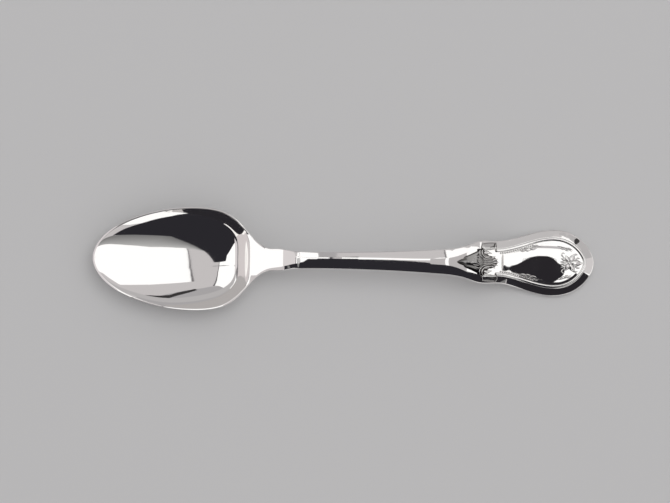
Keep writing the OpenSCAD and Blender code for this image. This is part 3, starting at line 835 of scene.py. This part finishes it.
    def palmette(self) -> bpy.types.Object:
        """Make the flower with five petals near the handle's end, with its curls.

        Returns:
            All of it as one piece.
        """
        middle = self.palmette_middle
        petal = (0.3, 0.85, 1.0, 0.9, 0.5, 0.06)
        strokes = []
        for angle, length, width in ((0, 3.7, 1.9), (62, 2.9, 1.6), (-62, 2.9, 1.6), (118, 2.4, 1.4), (-118, 2.4, 1.4)):
            c, s = math.cos(math.radians(angle)), math.sin(math.radians(angle))
            outer = tuple((middle + r * length * c, r * length * s) for r in (0.12, 0.55, 1.0))
            inner = tuple((middle + r * length * c, r * length * s) for r in (0.2, 0.5, 0.82))
            strokes.append(Stroke(outer, width, 0.2, petal, 0, 0.62, 0.1))
            strokes.append(Stroke(inner, 0.66 * width, 0.3, petal, 0, 0.5, 0.0))
        strokes.append(Stroke(((middle - 0.5, 0), (middle, 0), (middle + 0.55, 0)), 0.8, 0.4, (0.5, 1, 1, 0.5)))
        strokes += self.both_sides([
            Stroke(((134.6, 0.75), (135.2, 1.3), (136.1, 1.35)), 0.5, 0.3),
            Stroke(((134.2, 1.9), (134.7, 2.4), (135.4, 2.3)), 0.5, 0.3),
            Stroke(((132.7, 0.3), (131.6, 0.35), (130.4, 0.3)), 0.62, 0.34),
            Stroke(((132.3, 0.75), (131.4, 1.0), (130.7, 1.3)), 0.6, 0.34),
            Stroke(((132.0, 1.2), (131.3, 1.75), (130.9, 2.35), (131.3, 2.8), (131.8, 2.6)), 0.4, 0.34)])
        return self.draw("palmette_silver", strokes, self.form.panel_top)

    def sprigs(self) -> bpy.types.Object:
        """Make the four leafy sprigs along the panel's sides.

        Returns:
            All of them as one piece.
        """
        strokes = self.both_sides([
            Stroke(((117.6, 2.75), (119.6, 3.4), (121.6, 4.0), (123.6, 4.5), (125.6, 4.75)), 0.24, 0.26),
            Stroke(((119.3, 3.3), (120.1, 3.2), (121.0, 3.4)), 0.42, 0.28),
            Stroke(((120.4, 3.65), (121.3, 3.35), (122.5, 3.6)), 0.48, 0.28),
            Stroke(((121.8, 4.05), (122.8, 3.75), (124.0, 4.05)), 0.48, 0.28),
            Stroke(((120.6, 3.75), (121.2, 4.25), (122.2, 4.45)), 0.36, 0.26),
            Stroke(((122.6, 4.3), (123.4, 4.8), (124.4, 4.95)), 0.36, 0.26),
            Stroke(((129.6, 4.75), (131.0, 4.5), (132.6, 3.95), (133.8, 3.2)), 0.24, 0.26),
            Stroke(((130.3, 4.65), (130.9, 4.05), (131.7, 3.75)), 0.44, 0.28),
            Stroke(((131.6, 4.35), (132.1, 3.7), (132.9, 3.35)), 0.44, 0.28),
            Stroke(((132.2, 4.15), (133.0, 4.1), (133.7, 3.7)), 0.36, 0.26)])
        return self.draw("sprigs_silver", strokes, self.form.panel_top)


@dataclass(frozen=True)
class PolishedSilver:
    """Silver plate on nickel silver, buffed: a mirror with the faint ripple that buffing leaves."""

    colour: str = "F6F4F2"
    roughness: float = 0.035
    ripple_length: float = 25 / 3
    ripple_depth: float = 0.2
    ripple_strength: float = 0.06

    def build(self) -> bpy.types.Material:
        """Make the material.

        Returns:
            The material.
        """
        material = bpy.data.materials.new("silver_plate_buffed")
        material.use_nodes = True
        tree = material.node_tree
        shader = tree.nodes["Principled BSDF"]
        shader.inputs["Base Color"].default_value = linear(self.colour)
        shader.inputs["Metallic"].default_value = 1.0
        shader.inputs["Roughness"].default_value = self.roughness
        place = add_node(tree, "ShaderNodeTexCoord")
        # Buffing leaves soft waves about 8 mm long, which bend reflections a little
        waves = 1 / (self.ripple_length * MM)
        ripple = add_node(tree, "ShaderNodeTexNoise", values={"Scale": waves, "Detail": 2.0},
                          links={"Vector": place.outputs["Object"]})
        depth = {"Strength": self.ripple_strength, "Distance": self.ripple_depth * MM}
        bump = add_node(tree, "ShaderNodeBump", values=depth, links={"Height": ripple.outputs["Fac"]})
        tree.links.new(bump.outputs["Normal"], shader.inputs["Normal"])
        return material


@dataclass(frozen=True)
class ReliefSilver:
    """Struck silver plate in the relief: as bright, a little softer, greyer in its recesses, and painted darker where
    shade is painted in.
    """

    colour: str = "F3F1EF"
    # The colour that the silver is painted towards: patina in the recesses, and painted shade on the leaf's lower side
    # and the ears' dark strokes
    cut: str = "35322F"
    roughness: float = 0.09

    def build(self) -> bpy.types.Material:
        """Make the material.

        Returns:
            The material.
        """
        material = bpy.data.materials.new("silver_plate_struck")
        material.use_nodes = True
        tree = material.node_tree
        shader = tree.nodes["Principled BSDF"]
        shader.inputs["Metallic"].default_value = 1.0
        shader.inputs["Roughness"].default_value = self.roughness
        # This attribute holds the patina in the relief's crevices and the painted shade on the leaf's lower side and in
        # the ears' dark strokes
        patina_and_painted_shade = add_node(tree, "ShaderNodeAttribute", {"attribute_name": "patina_and_painted_shade"})
        # Inputs 6 and 7 are the mix node's two colours, and output 2 is the mixed one
        blend = add_node(tree, "ShaderNodeMix", {"data_type": "RGBA"}, {6: linear(self.colour), 7: linear(self.cut)},
                         {0: patina_and_painted_shade.outputs["Fac"]})
        tree.links.new(blend.outputs[2], shader.inputs["Base Color"])
        return material


class Layer(Enum):
    """How far off a card of the backdrop hangs, in metres: a nearer one covers one behind it."""

    BACK = 5.9
    CLOTH = 5.8
    STRIP = 5.7
    LINE = 5.6
    GAP = 5.5


@dataclass(frozen=True)
class StudioCard:
    """A lit, grey or black card of the studio, which shows only as a reflection."""

    name: str
    corners: tuple
    colour: str
    strength: float = 1.0

    def places(self) -> list[Point]:
        """The card's corners, in metres."""
        raise NotImplementedError

    def build(self) -> None:
        """Make the card, hidden from the camera, and without shadow or light on matt surfaces."""
        points = self.places()
        mesh = bpy.data.meshes.new(self.name)
        mesh.from_pydata(points, [], [tuple(range(len(points)))])
        card = bpy.data.objects.new(self.name, mesh)
        bpy.context.scene.collection.objects.link(card)
        material = bpy.data.materials.new(self.name)
        material.use_nodes = True
        tree = material.node_tree
        tree.nodes.clear()
        light = add_node(tree, "ShaderNodeEmission", values={"Color": linear(self.colour), "Strength": self.strength})
        add_node(tree, "ShaderNodeOutputMaterial", links={"Surface": light.outputs[0]})
        mesh.materials.append(material)
        card.visible_camera = False
        card.visible_shadow = False
        card.visible_diffuse = False


@dataclass(frozen=True)
class FarCard(StudioCard):
    """A card of the backdrop, about 6 m off.

    Its corners are slopes: the tilt, along X and Y, of a surface that shows that corner
    to a camera overhead.
    """

    layer: Layer = Layer.BACK

    def places(self) -> list[Point]:
        """Put the card's corners on a dome round the spoon.

        Returns:
            The corners, and places between them, in metres.
        """
        points = []
        for p, q in dense(self.corners):
            share = self.layer.value / (1 + p * p + q * q)
            points.append((2 * p * share, 2 * q * share, (1 - p * p - q * q) * share))
        return points


@dataclass(frozen=True)
class NearCard(StudioCard):
    """A small card that hangs level over the handle, the neck or the bowl's rim.

    Its corners are places in millimetres, and so is its height over the floor.
    """

    height: float = 25.0

    def places(self) -> list[Point]:
        """The card's corners, in metres."""
        return [(x * MM, y * MM, self.height * MM) for x, y in self.corners]


def dense(corners: Sequence[Place], step: float = 0.06) -> list[Place]:
    """Add places along a card's sides, so that they stay straight as seen in the slopes.

    Args:
        corners: the corners, as slopes.
        step: the widest gap that is left between two places.

    Returns:
        The corners and the places between them.
    """
    points = []
    for (p, q), (r, t) in zip(corners, tuple(corners[1:]) + (corners[0],)):
        count = max(1, int(math.hypot(r - p, t - q) / step))
        points += [(p + (r - p) * k / count, q + (t - q) * k / count) for k in range(count)]
    return points


# The cards' usual colours, and how much brighter than plain white a lit card is
WHITE, BLACK, DARK = "FFFFFF", "2B2A2F", "29272B"
GLOW = 1.12

# The softbox, the white panel, the black cloth and what edges them
FAR_CARDS = [
    FarCard("black_cloth", (
        (-0.23, -0.06), (-0.18, 0.03), (0.0, 0.045), (0.02, -0.1), (0.07, -0.3), (0.25, -0.4), (0.40, -0.47),
        (0.30, -0.60), (0.17, -0.68), (0.08, -0.78), (0.01, -0.93), (-0.04, -1.1), (-1.2, -1.1), (-1.2, -0.8),
        (-0.86, -0.42), (-0.8, -0.34), (-0.45, -0.2)), BLACK, layer=Layer.CLOTH),
    FarCard("white_panel", (
        (-0.80, -0.35), (-0.45, -0.21), (-0.23, -0.06), (-0.18, 0.03), (-0.036, 0.04), (-0.036, 0.2),
        (-0.066, 0.47), (-0.3, 0.63), (-0.65, 0.73), (-0.83, 0.78), (-0.81, 0.3), (-0.77, 0.0)),
        WHITE, GLOW),
    FarCard("panel_frame", (
        (-0.80, -0.36), (-0.77, 0.0), (-0.81, 0.3), (-0.83, 0.78), (-0.97, 0.76), (-0.93, 0.3),
        (-0.90, 0.0), (-0.93, -0.45)), "7E7C7E"),
    FarCard("panel_seam", ((0.0, 0.09), (-0.8, 0.1), (-0.8, 0.115), (0.0, 0.103)), "A9A7A9", layer=Layer.LINE),
    FarCard("panel_edge", (
        (-0.036, 0.04), (-0.03, 0.04), (-0.03, 0.2), (-0.058, 0.475), (-0.066, 0.47), (-0.036, 0.2)),
        "454347", layer=Layer.LINE),
    FarCard("softbox", (
        (0.05, -0.12), (0.35, -0.17), (0.5, -0.21), (0.72, -0.33), (1.4, -0.5), (1.4, 0.5), (0.6, 0.38),
        (0.5, 0.36), (0.33, 0.56), (0.06, 0.335), (0.026, 0.32), (0.036, 0.22), (0.046, 0.1)),
        WHITE, GLOW),
    FarCard("softbox_rim", (
        (0.05, -0.12), (0.046, 0.1), (0.036, 0.22), (0.026, 0.32), (0.021, 0.32), (0.032, 0.22),
        (0.043, 0.1), (0.048, -0.12)), "5A575A", layer=Layer.LINE),
    FarCard("low_strip", (
        (0.2, -0.67), (0.28, -0.70), (0.38, -0.8), (0.42, -0.92), (0.3, -1.0), (0.0, -1.15), (-0.07, -1.1),
        (-0.05, -0.98), (0.0, -0.86), (0.08, -0.78)), WHITE, 1.1, Layer.STRIP),
    FarCard("far_wall", (
        (-0.05, 0.475), (-0.3, 0.63), (-0.65, 0.73), (-0.83, 0.78), (-1.2, 0.9), (-1.2, 1.2), (0.3, 1.2),
        (0.25, 0.75), (0.1, 0.66), (0.02, 0.5)), "ACAAAC"),
    FarCard("dark_gap", (
        (0.0, 0.48), (-0.01, 0.52), (0.03, 0.63), (0.06, 0.72), (0.14, 0.75), (0.22, 0.74), (0.17, 0.70),
        (0.10, 0.66), (0.06, 0.62), (0.04, 0.55)), "3A3839", layer=Layer.GAP),
]

NEAR_CARDS = [
    # Over the handle's end
    NearCard("near_black", (
        (44, -34), (44, -19), (54, -19), (54, 6.2), (56.5, 6.1), (59, 4.7), (61.3, 3.7), (61.9, 0.6),
        (64, -1.5), (66.2, -3), (67.2, -6), (66.4, -11), (63, -15), (60, -18.5), (63, -22), (70, -21),
        (76, -16), (76, -11), (82, -10.5), (97, -20), (97, -34)), DARK),
    NearCard("near_black_low", ((43, -2.6), (54, -3.4), (54, -19), (43, -19)), DARK),
    NearCard("near_white", (
        (54, 6.2), (56.5, 6.1), (59, 4), (61.8, 1), (64, -1.5), (66.2, -3), (67.2, -6), (66.4, -11),
        (63, -15), (60, -18.5), (70, -18), (75.5, -12), (76, 12), (72, 19), (68, 21.5), (50, 22)),
        WHITE, GLOW),
    NearCard("near_stripe", (
        (75, 13.2), (60, 15.2), (52, 15.6), (52, 13.4), (60, 12.8), (75, 11.4)), "BEBBBD", height=24.0),
    NearCard("near_grey", (
        (24, 12.2), (32, 12.9), (38.3, 17.3), (43.3, 20.5), (52, 22.4), (58, 23.4), (60, 28.4), (68.6, 29),
        (70, 26.8), (85, 30), (85, 40), (24, 40)), "C3C1C2", height=24.5),
    NearCard("near_shine", (
        (24, 10.5), (32, 11.2), (38.3, 15.4), (43.3, 18.6), (52, 21), (60, 22.6), (54.3, 25.4), (56, 27.0),
        (59, 28.6), (63.4, 28.3), (67.8, 27.4), (72, 25.8), (76.5, 22), (78, 18), (74, 14), (66, 20),
        (50, 19), (40, 10)), WHITE, GLOW, height=26.0),
    NearCard("near_grey_end", (
        (76.9, 23.2), (80, 19), (77, 9), (90, 8), (120, 16), (120, 40), (62, 40), (64, 28.6), (68, 27.6),
        (72.3, 26.1)), "B9B7B8"),
    NearCard("near_pale", ((75.5, 9), (75.5, -10.5), (100, -16), (130, 8), (120, 16), (90, 8)), "D3D0D1"),
    NearCard("near_spot", ((76, 23.6), (77.6, 20.5), (80, 21.5), (79, 25)), "3A3839", height=24.0),
    # Over the stem
    NearCard("near_stem_grey", ((24.4, -5), (44, -5), (44, 6), (24.4, 6)), "BDBABB"),
    NearCard("near_stem_bar", ((29.6, -5), (31.2, -5), (31.2, 6), (29.6, 6)), WHITE, GLOW, height=24.0),
    NearCard("near_stem_white", ((-1, 1.55), (24.4, 1.55), (24.4, 9), (-1, 9)), WHITE, GLOW),
    # Over the neck
    NearCard("neck_under", (
        (-34, -6), (-31, -4.6), (-27, -4.3), (-16.2, -4.6), (-16.2, -16), (-34, -16)), "CBC7C8", height=14.0),
    NearCard("neck_white", ((-31, -4.6), (-27, -4.3), (-17.2, -4.6), (-17.2, 6), (-31, 7)),
             WHITE, GLOW, height=14.0),
    NearCard("neck_grey", ((-17.2, -2.2), (-13.4, -1.6), (-13.4, 4), (-17.2, 5)), "DDD9DA", height=10.6),
    NearCard("neck_dark", ((-8, -4), (4, -4), (4, 0.9), (-8, 0.9)), BLACK, height=14.0),
    NearCard("neck_dark_top", ((-8, 2.2), (4, 2.2), (4, 5), (-8, 5)), BLACK, height=14.0),
    # Over the bowl's rim and past it
    NearCard("beyond_tip", ((-95, -18), (-68, -18), (-62, -9), (-62, 7), (-95, 7)), "DCD7D9", height=12.0),
    NearCard("beyond_back", (
        (-80, 7), (-64, 7), (-58, 9), (-50, 10), (-40, 10), (-32, 9), (-29, 9), (-29, 34), (-80, 34)),
        "B9B7B8", height=12.0),
]


@dataclass
class Studio:
    """Floor, cards, lamp, world and camera.

    The floor's drop and the sensor's width are in millimetres, the camera's turn is in degrees,
    and the other sizes and places are in metres.
    """

    room_colour: str = "C9C6C7"
    floor_colour: str = "CECFCF"
    floor_size: float = 8.0
    floor_drop: float = 0.03
    floor_roughness: float = 0.8
    lamp_place: Point = (0.3, 0.5, 1.6)
    lamp_side: float = 1.2
    lamp_watts: float = 7.0
    camera_height: float = 1.6
    camera_shift: Place = (-0.00247, 0.00247)
    camera_turn: float = 0.69
    sensor_width: float = 36.0
    view_width: float = 0.1876
    far_clip: float = 50.0

    def build(self) -> None:
        """Set up everything that isn't part of the spoon."""
        self.world()
        self.floor()
        for card in FAR_CARDS + self.fading_strips() + NEAR_CARDS:
            card.build()
        self.lamp()
        self.camera()

    def world(self) -> None:
        """A pale, even room."""
        world = bpy.data.worlds.new("studio_room")
        bpy.context.scene.world = world
        world.use_nodes = True
        tree = world.node_tree
        tree.nodes["Background"].inputs["Color"].default_value = linear(self.room_colour)
        tree.nodes["Background"].inputs["Strength"].default_value = 1.0

    def floor(self) -> None:
        """A plain pale table, a hair under the spoon's underside."""
        drop_selection()
        bpy.ops.mesh.primitive_plane_add(size=self.floor_size, location=(0, 0, -self.floor_drop * MM))
        floor = bpy.context.object
        floor.name = "studio_table"
        material = bpy.data.materials.new("matt_laminate")
        material.use_nodes = True
        shader = material.node_tree.nodes["Principled BSDF"]
        shader.inputs["Base Color"].default_value = linear(self.floor_colour)
        shader.inputs["Roughness"].default_value = self.floor_roughness
        shader.inputs["Specular IOR Level"].default_value = 0.0
        floor.data.materials.append(material)

    def fading_strips(self, count: int = 9, darkest: int = 122, palest: int = 186) -> list[StudioCard]:
        """List the grey between the black cloth and the softbox, in strips that pale towards the softbox.

        Args:
            count: how many strips.
            darkest: the grey beside the cloth, out of 255.
            palest: the grey beside the softbox, out of 255.

        Returns:
            The strips.
        """
        cloth_side = ((0.75, -0.5), (0.42, -0.47), (0.25, -0.4), (0.07, -0.3), (0.045, -0.2), (0.02, -0.1))
        box_side = ((0.66, -0.31), (0.5, -0.21), (0.35, -0.17), (0.12, -0.128), (0.05, -0.12), (0.021, -0.095))
        strips = []
        for k in range(count):
            low, high = ([(p + (r - p) * share, q + (t - q) * share) for (p, q), (r, t) in zip(cloth_side, box_side)]
                         for share in (k / count, (k + 1) / count))
            tone = darkest + (palest - darkest) * k // (count - 1)
            strips.append(FarCard(f"fading_strip_{k}", tuple(low + high[::-1]), f"{tone:02X}" * 3))
        return strips

    def lamp(self) -> None:
        """One large soft lamp on the right, behind, which gives the shadow its side."""
        data = bpy.data.lights.new("soft_lamp", "AREA")
        data.shape = "RECTANGLE"
        data.size = data.size_y = self.lamp_side
        data.energy = self.lamp_watts
        lamp = bpy.data.objects.new("soft_lamp", data)
        bpy.context.scene.collection.objects.link(lamp)
        lamp.location = self.lamp_place
        lamp.rotation_euler = (Vector((0, 0, 0)) - lamp.location).to_track_quat("-Z", "Y").to_euler()
        lamp.visible_glossy = False

    def camera(self) -> None:
        """A long lens straight overhead."""
        scene = bpy.context.scene
        data = bpy.data.cameras.new("camera")
        data.sensor_width = self.sensor_width
        data.lens = self.sensor_width * self.camera_height / self.view_width
        data.clip_end = self.far_clip
        camera = bpy.data.objects.new("camera", data)
        scene.collection.objects.link(camera)
        camera.location = (*self.camera_shift, self.camera_height)
        camera.rotation_euler = (0, 0, math.radians(self.camera_turn))
        scene.camera = camera
        scene.view_settings.view_transform = "Standard"


def dress(piece: bpy.types.Object, material: bpy.types.Material, slot: Slot, *nodes: str) -> None:
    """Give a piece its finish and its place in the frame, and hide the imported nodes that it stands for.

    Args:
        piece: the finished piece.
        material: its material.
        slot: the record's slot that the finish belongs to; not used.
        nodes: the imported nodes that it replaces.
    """
    piece.data.materials.clear()
    piece.data.materials.append(material)
    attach(piece, "root")
    if nodes:
        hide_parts(*nodes)
    log.info("%s: %d faces", piece.name, len(piece.data.polygons))


def main() -> None:
    """Build the studio and every piece of the spoon."""
    logging.basicConfig(level=logging.INFO, format="%(name)s: %(message)s")
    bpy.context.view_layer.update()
    drop_selection()
    form = SpoonForm()
    Studio().build()
    polished, relief = PolishedSilver().build(), ReliefSilver().build()
    for node, piece in SilverBlank(form).pieces().items():
        dress(piece, polished, Slot.POLISHED, node)
    ornament = HandleRelief(form)
    dress(ornament.thread(), relief, Slot.RELIEF, "thread")
    dress(ornament.panel(), polished, Slot.POLISHED, "panel")
    dress(ornament.bead_row(), relief, Slot.RELIEF, "bead_rows")
    for node in ("leaf_cap", "scrolls", "palmette", "sprigs"):
        dress(getattr(ornament, node)(), relief, Slot.RELIEF, node)


if __name__ == "__main__":
    main()
